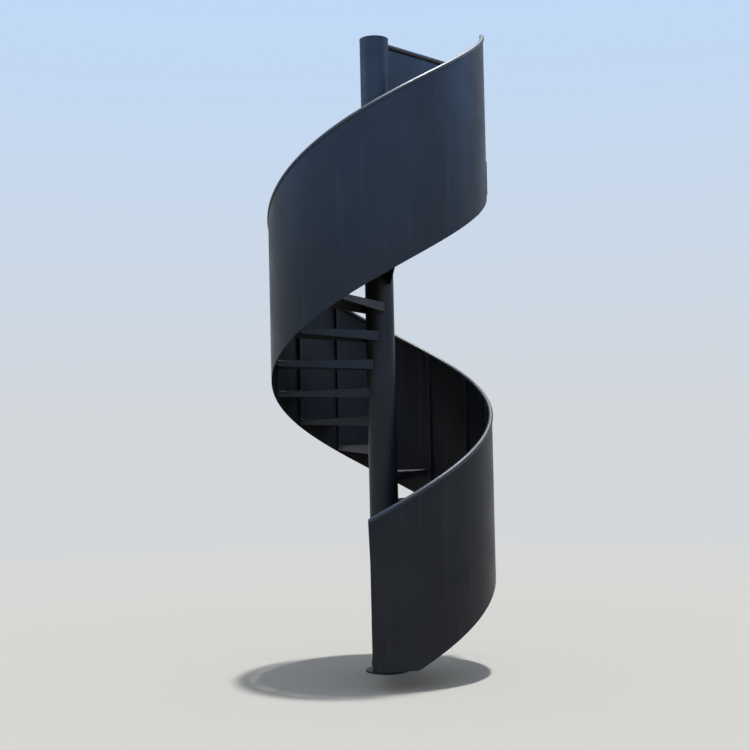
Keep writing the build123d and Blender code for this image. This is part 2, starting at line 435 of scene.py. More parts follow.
# %% Fold the lips
near = 0.0004
facing = 0.9
sharp_fold = 1.2
side_start = math.sqrt(tray_inner_radius**2 - tray_side_offset**2)
side_end = math.sqrt(tread_radius**2 - tray_side_offset**2)
lip_taper = (lip_at_column - lip_at_guard) / (side_end - side_start)


def along_side(foot, direction):
    """A test for edges that lie along one side of the blank."""
    return lambda edge: all(abs((vertex.co - foot).dot(direction)) < near for vertex in edge.verts)


def at_fold(edge):
    """True for the sharp edges between the top plate and a lip."""
    return len(edge.link_faces) == 2 and abs(middle(edge).z) < near and edge.calc_face_angle(0) > sharp_fold


edit_mesh("EDGE")
for foot, direction, along in ((front_foot, front_out, front_along), (rear_foot, rear_out, rear_along)):
    select_none()
    select_where(along_side(foot, direction), "edges")
    bpy.ops.mesh.extrude_region_move(TRANSFORM_OT_translate={"value": (0, 0, -lip_at_column)})
    select_none()
    select_where(lambda face: abs(face.normal.dot(direction)) > facing, "faces")
    lip_corner = foot + along * side_start + Vector((0, 0, -lip_at_column))
    cut(lip_corner, Vector((0, 0, 1)) - along * lip_taper, behind=True)
select_none()
bpy.ops.mesh.select_mode(type="EDGE")
folds = select_where(at_fold, "edges")
bpy.ops.mesh.bevel(offset=tray_bend_radius, offset_type="OFFSET", segments=6)
select_all()
bpy.ops.mesh.normals_make_consistent(inside=False)
leave_edit()
if max(tray.data.polygons, key=lambda face: face.area).normal.z < 0:
    edit_mesh("FACE")
    select_all()
    bpy.ops.mesh.flip_normals()
    leave_edit()
top_face = max(tray.data.polygons, key=lambda face: face.area)
print("folds:", folds, "top face looks up:", round(top_face.normal.z, 2))

# %% [markdown]
# ## Where feet fall
# Feet wipe the dust off the middle of a step's width and rub the paint along its nosing, so the paint must
# know where it is on its own step. Object coordinates can't say that, because they go on from step to step. A
# UV map can: it holds how far out from the column a point is, and how far behind the nosing.

# %% Measure the tray into a UV map
wear_map = "place_on_tray"
layer = tray.data.uv_layers.new(name=wear_map)
for loop in tray.data.loops:
    corner = tray.data.vertices[loop.vertex_index].co
    layer.data[loop.index].uv = (corner.dot(middle_along), -(corner - front_foot).dot(front_out))
behind_nosing = [item.uv[1] for item in layer.data]
print("behind the nosing from", round(min(behind_nosing), 3), "to", round(max(behind_nosing), 3))

# %% Give the plate its thickness
tray_edge = 0.0007
add_modifier("SOLIDIFY", thickness=tray_plate, offset=-1, use_even_offset=True)
soften(tray_edge, segments=1, angle=50)
tray_form = finish_piece("tray_form")
keep_flat()
print("tray size:", [round(v, 4) for v in tray_form.dimensions], "triangles:", triangles(tray_form))

# %% [markdown]
# ## Welds at the column
# Each tray is welded to the tube along its top and down both lips. The bead over the top is a slice of a thin
# torus round the tube, and each lip gets a short upright bead. All straight beads come from one helper: a
# slim cylinder whose ends are rounded.

# %% Beads
weld = 0.0038
weld_stand = 0.0013
weld_start_drop = 0.002
bead_rounding = 0.45


def straight_bead(start, end, radius, sides=10):
    """A rounded bead from one point to another."""
    start, end = Vector(start), Vector(end)
    bpy.ops.mesh.primitive_cylinder_add(vertices=sides, radius=radius, depth=(end - start).length)
    soften(radius * bead_rounding, segments=2, angle=60)
    turn = (end - start).to_track_quat("Z", "Y").to_matrix().to_4x4()
    bpy.context.object.matrix_world = Matrix.Translation((start + end) / 2) @ turn
    fix_place()
    return finish_piece("bead", angle=60)


def round_bead(radius, height, size, start=None, end=None):
    """A bead round the column, whole or from one azimuth to another."""
    bpy.ops.mesh.primitive_torus_add(
        major_radius=radius, minor_radius=size, major_segments=240, minor_segments=8, location=(0, 0, height)
    )
    fix_place()
    if start is not None:
        edit_mesh("FACE")
        for angle, side in ((start, 1), (end, -1)):
            select_all()
            cut((0, 0, 0), Vector((math.sin(angle), -math.cos(angle), 0)) * side, ahead=True)
        leave_edit()
        edit_mesh("EDGE")
        select_where(lambda edge: edge.is_boundary, "edges")
        bpy.ops.mesh.fill()
        leave_edit()
    return finish_piece("bead", angle=60)


def on_column(angle, height):
    """A point just outside the tube."""
    reach = column_radius + weld_stand
    return (reach * math.cos(angle), reach * math.sin(angle), height)


# %% Model one tray's welds
wrap_start = side_lean - tray_wrap
wrap_end = step_turn - wrap_start
tray_welds = [round_bead(column_radius + weld_stand, 0, weld, wrap_start, wrap_end)]
for angle in (wrap_start, wrap_end):
    upper, lower = on_column(angle, -weld_start_drop), on_column(angle, -lip_at_column)
    tray_welds.append(straight_bead(upper, lower, weld))
weld_form = join_pieces(tray_welds, "weld_form")

# %% Set the trays and their welds up the stair
trays = []
weld_copies = []
for steps in range(step_count):
    trays.append(copy_piece(tray_form, f"tray_{steps + 1:02d}", step_matrix(steps)))
    weld_copies.append(copy_piece(weld_form, "tray_weld", step_matrix(steps)))
bpy.data.objects.remove(tray_form)
bpy.data.objects.remove(weld_form)
tray_weld = join_pieces(weld_copies, "tray_weld")

# %% [markdown]
# ## Posts
# Square tubes of 25 mm stand inside the sheet and carry the rail: one just past the first nosing, one before
# each nosing after it, and one on the landing. A tube has rounded corners and an open lower end, which shows
# from below, and its top is cut to the rail's slope. So the cube's upright edges are bevelled, its top is cut
# with a leaning plane, and its lower face is inset by the wall and pushed up into the tube. Short beads hold
# the posts to the rolled sheet. The landing's post stands under a level rail, on the landing's plate.

# %% Model the posts with their stitch welds
post_corner = 0.0024
post_edge = 0.0003
bore_depth = 0.060
stitch_bead = 0.0018
stitch_length = 0.030
stitch_count = 4
stitch_reach = guard_inner - 0.0004
half_post = post_size / 2
post_middle = post_outer - half_post
post_slant = post_size * math.tan(rail_slope) / 2


def square_tube(spot, foot, top):
    """A square tube with rounded corners and an open lower end."""
    bpy.ops.mesh.primitive_cube_add(size=1, location=(*spot, (foot + top) / 2))
    bpy.context.object.scale = (post_size, post_size, top - foot)
    fix_place()
    edit_mesh("EDGE")
    select_where(lambda edge: abs(edge.verts[0].co.z - edge.verts[1].co.z) > post_size * 2, "edges")
    bpy.ops.mesh.bevel(offset=post_corner, offset_type="OFFSET", segments=3)
    bpy.ops.mesh.select_mode(type="FACE")
    select_none()
    select_where(lambda face: face.normal.z < -facing, "faces")
    bpy.ops.mesh.inset(thickness=post_wall)
    bpy.ops.mesh.extrude_region_move(TRANSFORM_OT_translate={"value": (0, 0, bore_depth)})
    leave_edit()


def post(name, turn, foot, top, weld_sides):
    """A tube inside the sheet, at an azimuth past the nosing line, with its welds."""
    square_tube((post_middle, 0), foot, top + 2 * post_slant)
    edit_mesh("FACE")
    select_all()
    cut((post_middle, 0, top + post_slant), (0, -math.tan(rail_slope), 1), ahead=True, fill=True)
    leave_edit()
    soften(post_edge, segments=1, angle=50)
    pieces = [finish_piece(name)]
    spacing = (top - foot) / stitch_count
    for number in range(stitch_count):
        height = foot + spacing * (number + 0.5)
        for side in weld_sides:
            lower = (stitch_reach, side, height - stitch_length / 2)
            upper = (stitch_reach, side, height + stitch_length / 2)
            pieces.append(straight_bead(lower, upper, stitch_bead, sides=bead_sides))
    whole = join_pieces(pieces, name, angle=30)
    whole.data.transform(Matrix.Rotation(turn, 4, "Z"))
    return whole


post_turn = post_setback / guard_inner
post_climb = climb * post_turn
rail_seat = rail_center_height - rail_half_height - post_slant
start_foot = guard_foot + post_foot_rise - first_rise
common_post = post(
    "common_post", -post_turn, post_foot_rise - guard_drop, rail_seat - post_climb, (-half_post, half_post)
)
start_post = post("start_post", post_turn, start_foot, rail_seat + post_climb, (half_post,))

# %% Model the landing's post and set them all
landing_rail_center = landing_height + rail_height - landing_rail_lowering - rail_radius
landing_reach = guard_radius / math.cos(landing_end)
landing_post_spot = (landing_reach - landing_post_setback, -half_post)
square_tube(landing_post_spot, landing_height, landing_rail_center - rail_radius - seat)
soften(post_edge, segments=1, angle=50)
place(landing_end)
landing_post = finish_piece("landing_post")
post_copies = [copy_piece(start_post, "post", step_matrix(0)), landing_post]
for steps in range(1, step_count + 1):
    post_copies.append(copy_piece(common_post, "post", step_matrix(steps)))
bpy.data.objects.remove(common_post)
bpy.data.objects.remove(start_post)
posts = join_pieces(post_copies, "posts", angle=30)
keep_flat()

# %% [markdown]
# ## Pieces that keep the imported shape
# The column, its cap and foot plate, and the landing's tray, sheet and rail are right as packed. A copy of
# each is merged, its flat faces are made whole again and its edges are broken by a small bevel, because a
# painted steel edge always catches a thin line of light. Weighted normals then keep the wide faces flat in
# their shading, which smooth shading alone would bend towards the bevels.

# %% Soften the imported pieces
def softened(node, name, width, segments=2, angle=35):
    """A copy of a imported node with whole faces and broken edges."""
    bpy.ops.object.select_all(action="DESELECT")
    piece = bpy.data.objects.new(name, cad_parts[node].data.copy())
    bpy.context.scene.collection.objects.link(piece)
    bpy.context.view_layer.objects.active = piece
    piece.select_set(True)
    edit_mesh("VERT")
    select_all()
    bpy.ops.mesh.remove_doubles(threshold=0.00002)
    bpy.ops.mesh.customdata_custom_splitnormals_clear()
    bpy.ops.mesh.dissolve_limited(angle_limit=math.radians(0.8))
    leave_edit()
    soften(width, segments, angle)
    piece = finish_piece(name)
    keep_flat()
    return piece


column = softened("column", "column_tube", width=0.0006, segments=1)
column_cap = softened("column_cap", "column_cap_plate", width=0.0012)
base_plate = softened("base_plate", "foot_plate", width=0.0012)
landing = softened("landing", "landing_tray", width=0.0009)
landing_guard = softened("landing_guard", "landing_sheet", width=0.0008, segments=1)
landing_handrail = softened("landing_handrail", "landing_rail", width=0.0012)
for piece in (column, column_cap, base_plate, landing, landing_guard, landing_handrail):
    print(piece.name, "triangles:", triangles(piece))

# %% [markdown]
# ## Fascia plate
# The landing ends in an upright flat plate, by which it is bolted to its support. The plate is cut from flat
# bar and drilled with four holes before it is welded on. So it is a cube at its size, drilled by four
# cylinders, and then its edges and the rims of its holes are broken together.

# %% Drill the plate
hole_radius = 0.007
bolt_spacing_y = 0.560
bolt_spacing_z = 0.110
bolt_drop = 0.085
fascia_edge = 0.0010
fascia_low, fascia_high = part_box("landing_fascia")
fascia_middle = (fascia_low + fascia_high) / 2
fascia_size = fascia_high - fascia_low
hole_middle_z = landing_height - bolt_drop - bolt_spacing_z / 2
hole_spots = []
for side in (-1, 1):
    for row in (-1, 1):
        hole_y = fascia_middle.y + side * bolt_spacing_y / 2
        hole_z = hole_middle_z + row * bolt_spacing_z / 2
        hole_spots.append(Vector((fascia_middle.x, hole_y, hole_z)))
bpy.ops.mesh.primitive_cube_add(size=1, location=fascia_middle, scale=fascia_size)
landing_fascia = bpy.context.object
fix_place()
for spot in hole_spots:
    bpy.ops.mesh.primitive_cylinder_add(
        vertices=40, radius=hole_radius, depth=fascia_size.x * 3, location=spot, rotation=(0, math.pi / 2, 0)
    )
    drill = bpy.context.object
    bpy.context.view_layer.objects.active = landing_fascia
    add_modifier("BOOLEAN", operation="DIFFERENCE", object=drill, solver="EXACT")
    bpy.data.objects.remove(drill)
landing_fascia.select_set(True)
soften(fascia_edge)
finish_piece("fascia_plate")
keep_flat()
print("fascia triangles:", triangles(landing_fascia), "holes:", len(hole_spots))

# %% [markdown]
# ## Welds at the foot, the cap and the landing
# The tube is welded all round to its foot plate, and its cap is welded on and ground nearly flush. The
# landing's sheet is welded up the column and under its rail, and the landing's plate round the tube.

# %% Ring welds
foot_weld = 0.0048
foot_weld_stand = 0.0005
cap_weld = 0.0014
cap_weld_sink = 0.0002
plate_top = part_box("base_plate")[1].z
column_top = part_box("column")[1].z
foot_ring = round_bead(column_radius + foot_weld_stand, plate_top, foot_weld)
cap_ring = round_bead(column_radius - cap_weld_sink, column_top, cap_weld)
column_weld = join_pieces([foot_ring, cap_ring], "column_weld")

# %% Landing welds
corner_stand = 0.001
inner_end_gap = 0.003
outer_end_gap = 0.004
landing_foot = landing_height - lip_at_column
landing_sheet_top = landing_rail_center - math.sqrt(rail_radius**2 - sheet_offset**2) - seat
landing_wrap_start = nosing_angle(step_count) + math.asin(tray_side_offset / guard_inner) - tray_wrap
to_landing_edge = Matrix.Rotation(landing_end, 4, "Z")


def at_landing_sheet(reach, side, height):
    """A point beside the flat sheet, which runs out along the landing's rear edge."""
    return to_landing_edge @ Vector((reach, side, height))


bead_end_reach = landing_reach - rail_radius - outer_end_gap
plate_bead = round_bead(column_radius + weld_stand, landing_height, weld, landing_wrap_start, landing_end)
landing_beads = [plate_bead]
for side, lift in ((-bead / 2, inner_lift), (guard_sheet + bead / 2, outer_lift)):
    foot_point = at_landing_sheet(column_radius + corner_stand, side, landing_foot)
    top_point = at_landing_sheet(column_radius + corner_stand, side, landing_sheet_top)
    landing_beads.append(straight_bead(foot_point, top_point, bead))
    inner_point = at_landing_sheet(column_radius + inner_end_gap, side, landing_sheet_top + lift)
    outer_point = at_landing_sheet(bead_end_reach, side, landing_sheet_top + lift)
    landing_beads.append(straight_bead(inner_point, outer_point, bead))
landing_weld = join_pieces(landing_beads, "landing_weld")

# %% [markdown]
# ## Anchors
# Four studs hold the foot plate to the ground, each with a washer, a nut and some thread standing out. Four
# hexagon bolts hold the fascia to its support, with their heads on the stair's side. A nut starts as a
# six-sided cylinder whose corners are cut back by a cone, as a lathe does it.

# %% Helpers for nuts, washers and threads
nut_edge = 0.0004


def standing_cylinder(sides, radius, height, base):
    """A cylinder round the axis, standing on a height."""
    spot = (0, 0, base + height / 2)
    bpy.ops.mesh.primitive_cylinder_add(vertices=sides, radius=radius, depth=height, location=spot)
    fix_place()


def hexagon(across, height, base):
    """A hexagon nut or bolt head, chamfered on its outer face."""
    corner = across / math.sqrt(3)
    cone_depth = height * 1.6
    cone_foot = corner * 1.9
    cone_top = across * 0.46
    bpy.ops.mesh.primitive_cone_add(
        vertices=48,
        radius1=cone_foot,
        radius2=cone_top,
        depth=cone_depth,
        location=(0, 0, base + height - cone_depth / 2),
    )
    cone = bpy.context.object
    standing_cylinder(6, corner, height, base)
    add_modifier("BOOLEAN", operation="INTERSECT", object=cone, solver="EXACT")
    bpy.data.objects.remove(cone)
    soften(nut_edge, segments=1, angle=25)
    return finish_piece("hexagon", angle=25)


def round_disc(name, radius, height, base, bevel):
    """A washer or a plain shank, with broken edges."""
    standing_cylinder(40, radius, height, base)
    soften(bevel, segments=2, angle=50)
    return finish_piece(name, angle=35)


def thread(radius, depth, pitch, base, turns):
    """A screw thread: one notch wound round and up."""
    start = (radius - depth / 2, 0, base)
    bpy.ops.mesh.primitive_circle_add(vertices=3, radius=depth, location=start, rotation=(math.pi / 2, 0, 0))
    fix_place()
    add_modifier(
        "SCREW", axis="Z", angle=2 * math.pi, screw_offset=pitch, iterations=turns, steps=20, render_steps=20
    )
    face_outwards()
    return finish_piece("thread", angle=60)


# %% Model a stud and set the four
stud_radius = 0.008
stud_height = 0.034
thread_pitch = 0.002
thread_depth = 0.0009
thread_gap = 0.0005
thread_turns = 8
stud_edge = 0.0010
nut_across = 0.024
nut_height = 0.013
washer_radius = 0.015
washer_height = 0.003
washer_edge = 0.0005
anchor_circle_radius = 0.127
anchor_count = 4
anchor_start = math.radians(45)
first_nut_turn = 0.4
next_nut_turn = 1.3
nut_base = plate_top + washer_height
stud_form = join_pieces(
    [
        hexagon(nut_across, nut_height, nut_base),
        round_disc("washer", washer_radius, washer_height, plate_top, washer_edge),
        round_disc("stud", stud_radius - thread_depth, stud_height, plate_top, stud_edge),
        thread(stud_radius, thread_depth, thread_pitch, nut_base + nut_height + thread_gap, thread_turns),
    ],
    "stud_form",
    angle=30,
)
studs = []
for number in range(anchor_count):
    angle = anchor_start + number * 2 * math.pi / anchor_count
    spot = Vector((anchor_circle_radius * math.cos(angle), anchor_circle_radius * math.sin(angle), 0))
    nut_turn = Matrix.Rotation(first_nut_turn + next_nut_turn * number, 4, "Z")
    studs.append(copy_piece(stud_form, "stud", Matrix.Translation(spot) @ nut_turn))
bpy.data.objects.remove(stud_form)
foot_anchors = join_pieces(studs, "foot_anchors", angle=30)

# %% Model and set the fascia bolts
bolt_across = 0.019
bolt_head_height = 0.0075
bolt_washer_radius = 0.012
bolt_washer_height = 0.0025
bolt_washer_edge = 0.0004
next_bolt_turn = 0.7
bolt_form = join_pieces(
    [
        hexagon(bolt_across, bolt_head_height, bolt_washer_height),
        round_disc("bolt_washer", bolt_washer_radius, bolt_washer_height, 0, bolt_washer_edge),
    ],
    "bolt_form",
    angle=30,
)
face_the_stair = Matrix.Rotation(-math.pi / 2, 4, "Y")
to_inner_face = Vector((fascia_low.x - fascia_middle.x, 0, 0))
bolts = []
for number, spot in enumerate(hole_spots):
    bolt_turn = Matrix.Rotation(next_bolt_turn * number, 4, "Z")
    bolt_place = Matrix.Translation(spot + to_inner_face) @ face_the_stair @ bolt_turn
    bolts.append(copy_piece(bolt_form, "bolt", bolt_place))
bpy.data.objects.remove(bolt_form)
fascia_bolts = join_pieces(bolts, "fascia_bolts", angle=30)

# %% [markdown]
# ## Paint
# The stair is sprayed with one satin enamel. A real coat isn't one number: it has a fine orange peel, its
# gloss drifts in patches, dust lies on what faces up, and rain draws faint runs down the upright sheet. The
# pale colour on what faces up is partly that dust and partly painted sunlight: the colour is paler than dust
# alone, and on the treads, the landing and the rail it lies thicker, so that their tops look lit by a stronger
# sun than the lamps give, and the rail's top carries a soft painted highlight. One function mixes these, and
# each part of the stair gets its own amounts. The patterns read Object coordinates, so they stay on the steel
# when the stair moves. Only the wear on a tread reads that tread's own UV map.

# %% Helpers for the node trees
def link_new(nodes, links, kind, inputs=None, **settings):
    """Add a node, set its properties, and link or fill its inputs."""
    node = nodes.new(kind)
    for key, value in settings.items():
        setattr(node, key, value)
    for socket, value in (inputs or {}).items():
        if isinstance(value, bpy.types.NodeSocket):
            links.new(value, node.inputs[socket])
        else:
            node.inputs[socket].default_value = value
    return node


def noise(nodes, links, vector, scale, detail=3.0, roughness=0.5):
    """Noise on a vector, as a number from 0 to 1."""
    inputs = {"Vector": vector, "Scale": scale, "Detail": detail, "Roughness": roughness}
    return link_new(nodes, links, "ShaderNodeTexNoise", inputs).outputs["Fac"]


def remap(nodes, links, value, source, target=(0, 1)):
    """Number carried from one range to another, clamped."""
    (low, high), (to_low, to_high) = source, target
    inputs = {"Value": value, "From Min": low, "From Max": high, "To Min": to_low, "To Max": to_high}
    return link_new(nodes, links, "ShaderNodeMapRange", inputs).outputs["Result"]


def calculate(nodes, links, operation, *values):
    """A sum, product or the like of one to three numbers."""
    inputs = dict(enumerate(values))
    return link_new(nodes, links, "ShaderNodeMath", inputs, operation=operation).outputs[0]


def mix_color(nodes, links, factor, first, second):
    """Colour between two colours or sockets."""
    node = link_new(nodes, links, "ShaderNodeMix", data_type="RGBA")
    for socket, value in ((node.inputs[0], factor), (node.inputs[6], first), (node.inputs[7], second)):
        if isinstance(value, bpy.types.NodeSocket):
            links.new(value, socket)
        else:
            socket.default_value = value
    return node.outputs[2]


# %% Where feet wear the treads
worn_color = (0.300, 0.300, 0.306, 1.0)
walking_line = 0.46
walked_reach = (0.05, 0.25)
nosing_reach = (0.003, 0.016)
wear_grain_scale = 46
wiped_grains = (0.25, 0.60)
wiped_share = (0.35, 0.80)
chipped_grains = (0.40, 0.56)
chipped_share = (0, 0.85)
top_side = (0.25, 0.75)
foot_polish = 0.05


def worn_by_feet(nodes, links, grains):
    """Masks of the dust that feet wipe off and of the nosing that they rub, from the tray's own UV map."""
    place_on_tray = link_new(nodes, links, "ShaderNodeUVMap", uv_map=wear_map).outputs["UV"]
    axes = link_new(nodes, links, "ShaderNodeSeparateXYZ", {0: place_on_tray})
    beside_line = calculate(nodes, links, "SUBTRACT", axes.outputs[0], walking_line)
    off_walking_line = calculate(nodes, links, "ABSOLUTE", beside_line)
    walked = remap(nodes, links, off_walking_line, walked_reach, (1, 0))
    wiping = remap(nodes, links, grains, wiped_grains, wiped_share)
    wiped = calculate(nodes, links, "MULTIPLY", walked, wiping)
    at_nosing = remap(nodes, links, axes.outputs[1], nosing_reach, (1, 0))
    chipped = remap(nodes, links, grains, chipped_grains, chipped_share)
    walked_nosing = calculate(nodes, links, "MULTIPLY", walked, at_nosing)
    rubbed = calculate(nodes, links, "MULTIPLY", walked_nosing, chipped)
    return wiped, rubbed


# %% The satin enamel
charcoal = (0.0088, 0.0092, 0.0104, 1.0)
charcoal_faded = (0.0138, 0.0141, 0.0155, 1.0)
# Colour on what faces up: dust, made paler than dust alone so that it also paints sunlight on the tops.
dust_and_sunlight_color = (0.290, 0.284, 0.274, 1.0)
facing_up = (0.55, 0.98)
fading_scale = 2.3
fading_noise = (0.35, 0.70)
run_stretch = (26, 26, 1.1)
run_noise = (0.55, 0.80)
dust_scale = 14
dust_noise = (0.30, 0.72)
thin_dust_and_sunlight = 0.45
drift_scale = 4.1
drift_noise = (0.3, 0.7)
glossier = 0.05
duller = 0.07
peel_scale = 420
sag_scale = 31
coat_roughness = 0.22


def satin_paint(name, dullness, dust_and_sunlight, specular_level, runs=0.0, coat=0.0, trodden=False):
    """Satin black enamel: drifting gloss, dust and painted sunlight on top, rain runs, orange peel, and wear
    where trodden.
    """
    material = bpy.data.materials.new(name)
    material.use_nodes = True
    nodes, links = material.node_tree.nodes, material.node_tree.links
    shader = nodes["Principled BSDF"]
    on_steel = nodes.new("ShaderNodeTexCoord").outputs["Object"]
    normal = link_new(nodes, links, "ShaderNodeNewGeometry").outputs["Normal"]
    up = link_new(nodes, links, "ShaderNodeSeparateXYZ", {0: normal}).outputs["Z"]
    upward = remap(nodes, links, up, facing_up)
    patches = remap(nodes, links, noise(nodes, links, on_steel, fading_scale, detail=5), fading_noise)
    color = mix_color(nodes, links, patches, charcoal, charcoal_faded)
    stretch = {"Vector": on_steel, "Scale": run_stretch}
    drawn_out = link_new(nodes, links, "ShaderNodeMapping", stretch).outputs[0]
    run_mask = remap(nodes, links, noise(nodes, links, drawn_out, 1.0, detail=4), run_noise, (0, runs))
    color = mix_color(nodes, links, run_mask, color, dust_and_sunlight_color)
    grains = noise(nodes, links, on_steel, dust_scale, detail=8, roughness=0.62)
    # Dust on what faces up, which also paints sunlight on the tops where its amount is raised.
    dust_and_sunlight_amount = remap(nodes, links, grains, dust_noise, (thin_dust_and_sunlight * dust_and_sunlight, dust_and_sunlight))
    dust_and_sunlight_mask = calculate(nodes, links, "MULTIPLY", dust_and_sunlight_amount, upward)
    if trodden:
        wear_grains = noise(nodes, links, on_steel, wear_grain_scale, detail=9, roughness=0.7)
        wiped, rubbed = worn_by_feet(nodes, links, wear_grains)
        left_lying = calculate(nodes, links, "SUBTRACT", 1.0, wiped)
        dust_and_sunlight_mask = calculate(nodes, links, "MULTIPLY", dust_and_sunlight_mask, left_lying)
    color = mix_color(nodes, links, dust_and_sunlight_mask, color, dust_and_sunlight_color)
    gloss_range = (dullness - glossier, dullness + duller)
    cloudy = noise(nodes, links, on_steel, drift_scale, detail=4)
    drift = remap(nodes, links, cloudy, drift_noise, gloss_range)
    roughness = calculate(nodes, links, "ADD", drift, dust_and_sunlight_mask)
    if trodden:
        on_top = remap(nodes, links, up, top_side)
        bare = calculate(nodes, links, "MULTIPLY", rubbed, on_top)
        color = mix_color(nodes, links, bare, color, worn_color)
        polished = calculate(nodes, links, "MULTIPLY", wiped, foot_polish)
        roughness = calculate(nodes, links, "SUBTRACT", roughness, polished)
    links.new(color, shader.inputs["Base Color"])
    links.new(roughness, shader.inputs["Roughness"])
    peel = noise(nodes, links, on_steel, peel_scale, detail=2)
    peel_inputs = {"Height": peel, "Strength": 0.10, "Distance": 0.0006}
    peel_bump = link_new(nodes, links, "ShaderNodeBump", peel_inputs)
    sag = noise(nodes, links, on_steel, sag_scale, detail=3)
    sag_inputs = {"Height": sag, "Strength": 0.05, "Distance": 0.002, "Normal": peel_bump.outputs["Normal"]}
    sag_bump = link_new(nodes, links, "ShaderNodeBump", sag_inputs)
    links.new(sag_bump.outputs["Normal"], shader.inputs["Normal"])
    shader.inputs["Specular IOR Level"].default_value = specular_level
    shader.inputs["Coat Weight"].default_value = coat
    shader.inputs["Coat Roughness"].default_value = coat_roughness
    return material


# The dust amounts of the treads, the landing and the rail are raised to paint sunlight on their tops, and on
# the rail a soft painted highlight.
guard_paint = satin_paint("guard_enamel", dullness=0.41, dust_and_sunlight=0.15, specular_level=0.20, runs=0.04)
rail_paint = satin_paint("rail_enamel", dullness=0.45, dust_and_sunlight=0.32, specular_level=0.46)
column_paint = satin_paint("column_enamel", dullness=0.38, dust_and_sunlight=0.28, specular_level=0.21, runs=0.04)
post_paint = satin_paint("post_enamel", dullness=0.47, dust_and_sunlight=0.20, specular_level=0.22, coat=0.05)
tread_paint = satin_paint("tread_enamel", dullness=0.50, dust_and_sunlight=0.72, specular_level=0.22, trodden=True)
landing_paint = satin_paint("landing_enamel", dullness=0.46, dust_and_sunlight=0.42, specular_level=0.22, runs=0.04)
print("paints:", [material.name for material in bpy.data.materials if material.name.endswith("enamel")])

# %% [markdown]
# ## Riding, standing in, and paint
# Nothing on this stair moves, so every piece rides on the one body. Each piece takes its paint, and the
# imported nodes that it stands for are hidden.

# %% Give every piece its body and paint, and hide the nodes it stands for
panel_nodes = [f"guard_panel_{number:02d}" for number in range(1, step_count + 1)]
rail_nodes = ["handrail_1", "handrail_2", "handrail_3"]


def settle(piece, material, slot, *nodes):
    """Ride on the body, take the paint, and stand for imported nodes."""
    piece.data.materials.clear()
    piece.data.materials.append(material)
    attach(piece, BODY)
    if nodes:
        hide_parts(*nodes)


settle(guard_band, guard_paint, "guard_paint", *panel_nodes)
settle(handrail, rail_paint, "rail_paint", *rail_nodes)
settle(rail_weld, rail_paint, "rail_paint")
for number, piece in enumerate(trays, start=1):
    settle(piece, tread_paint, "tray_paint", f"tread_{number:02d}")
settle(tray_weld, landing_paint, "tray_paint")
settle(posts, post_paint, "post_paint", "guard_posts")
settle(column, column_paint, "column_paint", "column")
settle(column_cap, column_paint, "column_paint", "column_cap")
settle(base_plate, column_paint, "column_paint", "base_plate")
settle(column_weld, column_paint, "column_paint")
settle(foot_anchors, column_paint, "column_paint")
settle(landing, landing_paint, "tray_paint", "landing")
settle(landing_fascia, landing_paint, "tray_paint", "landing_fascia")
settle(landing_guard, guard_paint, "guard_paint", "landing_guard")
settle(landing_handrail, rail_paint, "rail_paint", "landing_handrail")
settle(landing_weld, rail_paint, "rail_paint")
settle(fascia_bolts, landing_paint, "tray_paint")
print("triangles of guard, rail and posts:", [triangles(piece) for piece in (guard_band, handrail, posts)])

# %% [markdown]
# ## Floor and backdrop
# The stair stands on a plain pale floor. A flat floor would end in a hard horizon behind the stair, so the
# floor fades with distance into the pale colour of the backdrop, as a studio's paper sweep does. The fade is
# only in how the floor looks: near the stair it still takes the stair's shadow.

# %% Tell what looks at a surface
def seen_directly(nodes, links):
    """1 for the camera's rays and for mirrored or passing rays, 0 for rays that carry light."""
    rays = nodes.new("ShaderNodeLightPath").outputs
    seen = calculate(nodes, links, "MAXIMUM", rays["Is Camera Ray"], rays["Is Glossy Ray"])
    return calculate(nodes, links, "MAXIMUM", seen, rays["Is Transmission Ray"])


# %% Lay the floor
backdrop_color = (0.66, 0.68, 0.70, 1.0)
sky_color = (0.48, 0.70, 1.0, 1.0)
floor_color = (0.535, 0.52, 0.50, 1.0)
fade_distances = (3.5, 13.0)
bpy.ops.mesh.primitive_plane_add(size=120)
floor = bpy.context.object
floor.name = "floor"
sweep = bpy.data.materials.new("pale_floor")
sweep.use_nodes = True
nodes, links = sweep.node_tree.nodes, sweep.node_tree.links
ground = nodes["Principled BSDF"]
ground.inputs["Base Color"].default_value = floor_color
ground.inputs["Roughness"].default_value = 0.8
ground.inputs["Specular IOR Level"].default_value = 0.0
on_floor = nodes.new("ShaderNodeTexCoord").outputs["Object"]
far = link_new(nodes, links, "ShaderNodeVectorMath", {0: on_floor}, operation="LENGTH").outputs["Value"]
far_share = remap(nodes, links, far, fade_distances)
fade = calculate(nodes, links, "MULTIPLY", far_share, seen_directly(nodes, links))
paper = link_new(nodes, links, "ShaderNodeEmission", {"Color": backdrop_color, "Strength": 1.0})
blend = link_new(nodes, links, "ShaderNodeMixShader", {0: fade, 1: ground.outputs[0], 2: paper.outputs[0]})
links.new(blend.outputs[0], nodes["Material Output"].inputs["Surface"])
floor.data.materials.append(sweep)

